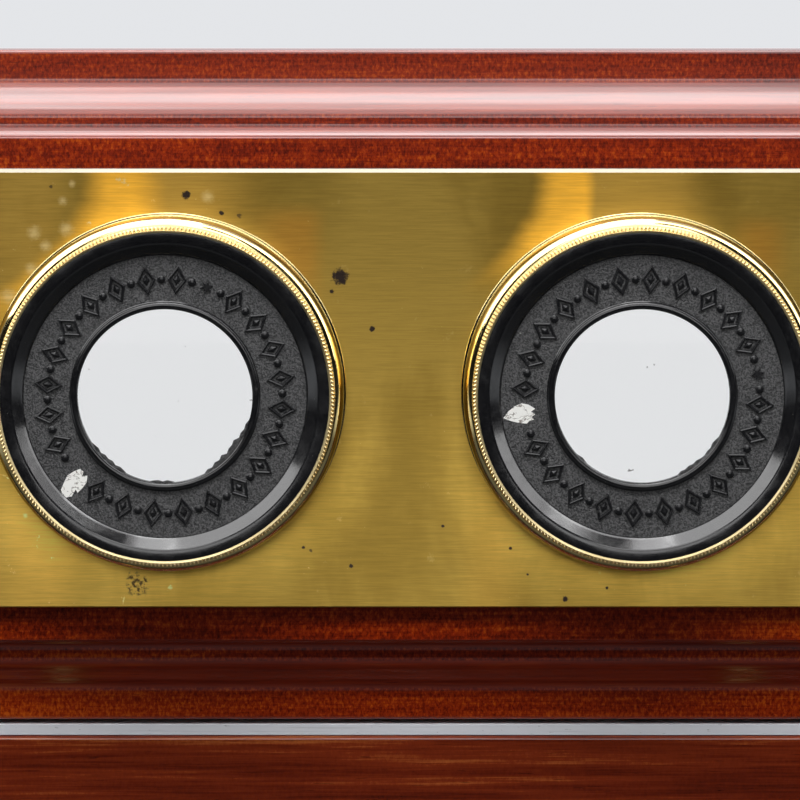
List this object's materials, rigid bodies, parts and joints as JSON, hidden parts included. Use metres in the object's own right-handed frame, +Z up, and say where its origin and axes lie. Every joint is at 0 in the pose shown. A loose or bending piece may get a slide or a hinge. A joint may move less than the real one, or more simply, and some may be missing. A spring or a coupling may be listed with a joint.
{
  "type": "stereoscope",
  "caption": "Table stereoscope: a moulded wooden panel with two brass and black eyepieces on a focusing card viewer that tilts on a cabinet with a drawer.",
  "frame": {"origin": "centre of the cabinet's underside", "axes": "+X to the right seen from the eyepieces, +Y away from the user, +Z up"},
  "size_m": [0.218, 0.1848, 0.1576],
  "materials": {
    "mahogany": "french polished, red-brown",
    "dark_mahogany": "waxed, dark red-brown",
    "drawer_wood": "plain sanded",
    "blackened_wood": "matt black stain",
    "stained_brass": "brushed, tarnished in spots",
    "polished_brass": "polished",
    "plain_brass": "satin, aged",
    "steel": "turned",
    "nickel_silver": "pale metal, brushed lengthwise, scratched",
    "ebonite": "black, worn in places",
    "lens_glass": "clear, polished",
    "mirror": "silvered glass",
    "ground_glass": "ground one side"
  },
  "bodies": {
    "cabinet": {"plinth_board": "dark_mahogany", "cabinet_sides": "mahogany", "cabinet_back": "mahogany", "cabinet_top": "mahogany", "sill_strip": "nickel_silver", "tilt_hinge_lower": "plain_brass", "tilt_hinge_pins": "plain_brass", "quadrant_left": "polished_brass", "quadrant_right": "polished_brass", "quadrant_screws": "plain_brass"},
    "drawer": {"drawer_front": "mahogany", "drawer_sides": "drawer_wood", "drawer_rear": "drawer_wood", "drawer_floor": "drawer_wood", "drawer_knobs": "polished_brass"},
    "viewer": {"frame_top_rail": "mahogany", "frame_bottom_rail": "mahogany", "frame_left_stile": "mahogany", "frame_right_stile": "mahogany", "body_sides": "mahogany", "body_floor": "dark_mahogany", "body_top_strips": "mahogany", "sleeve_guides": "blackened_wood", "septum": "blackened_wood", "card_frame": "mahogany", "card_rails": "mahogany", "flap_ledges": "blackened_wood", "flap_hinge_fixed": "plain_brass", "door_hinge_fixed": "plain_brass", "small_hinge_pins": "plain_brass", "tilt_hinge_upper": "plain_brass", "side_bushes": "plain_brass"},
    "lens_panel": {"lens_plate": "stained_brass", "lens_board": "dark_mahogany", "lens_sleeve": "blackened_wood", "racks": "plain_brass", "socket_left": "polished_brass", "socket_right": "polished_brass", "socket_nuts": "plain_brass"},
    "eyepiece_left": {"milled_ring_left": "polished_brass", "eye_cell_left": "ebonite", "doublet_left": "lens_glass", "lens_retainer_left": "plain_brass"},
    "eyepiece_right": {"milled_ring_right": "polished_brass", "eye_cell_right": "ebonite", "doublet_right": "lens_glass", "lens_retainer_right": "plain_brass"},
    "focusing": {"focus_shaft": "steel", "pinions": "plain_brass", "focus_knobs": "polished_brass"},
    "flap": {"flap_board": "mahogany", "flap_mirror": "mirror", "flap_hinge_moving": "plain_brass"},
    "rear_door": {"door_frame": "mahogany", "ground_glass": "ground_glass", "door_hinge_moving": "plain_brass", "door_knob": "polished_brass", "card_springs": "plain_brass"},
    "clamp_left": {"clamp_screw_left": "polished_brass"},
    "clamp_right": {"clamp_screw_right": "polished_brass"}
  },
  "joints": [
    {"name": "drawer_slide", "type": "slide", "parent": "cabinet", "child": "drawer", "axis": [0, -1, 0], "range_m": [0, 0.11]},
    {"name": "viewer_tilt", "type": "hinge", "parent": "cabinet", "child": "viewer", "pos_m": [0, 0.08025, 0.0633], "axis": [-1, 0, 0], "range_deg": [0, 30]},
    {"name": "focus_slide", "type": "slide", "parent": "viewer", "child": "lens_panel", "axis": [0, -1, 0], "range_m": [0, 0.018]},
    {"name": "focus_turn", "type": "hinge", "parent": "viewer", "child": "focusing", "pos_m": [0, -0.04575, 0.07647], "axis": [1, 0, 0], "range_deg": [0, 230]},
    {"name": "eyepiece_left_turn", "type": "hinge", "parent": "lens_panel", "child": "eyepiece_left", "pos_m": [-0.033, -0.08425, 0.11], "axis": [0, -1, 0], "range_deg": [0, 360]},
    {"name": "eyepiece_right_turn", "type": "hinge", "parent": "lens_panel", "child": "eyepiece_right", "pos_m": [0.033, -0.08425, 0.11], "axis": [0, -1, 0], "range_deg": [0, 360]},
    {"name": "flap_hinge", "type": "hinge", "parent": "viewer", "child": "flap", "pos_m": [0, -0.05465, 0.15245], "axis": [1, 0, 0], "range_deg": [0, 100]},
    {"name": "door_hinge", "type": "hinge", "parent": "viewer", "child": "rear_door", "pos_m": [0, 0.0777, 0.15245], "axis": [1, 0, 0], "range_deg": [0, 100]},
    {"name": "clamp_left_turn", "type": "hinge", "parent": "viewer", "child": "clamp_left", "pos_m": [-0.092, -0.00434, 0.08756], "axis": [1, 0, 0], "range_deg": [0, 180]},
    {"name": "clamp_right_turn", "type": "hinge", "parent": "viewer", "child": "clamp_right", "pos_m": [0.092, -0.00434, 0.08756], "axis": [1, 0, 0], "range_deg": [0, 180]}
  ],
  "couplings": [
    {"joint": "focus_turn", "follows": "focus_slide", "rad_per_m": 222.22}
  ]
}
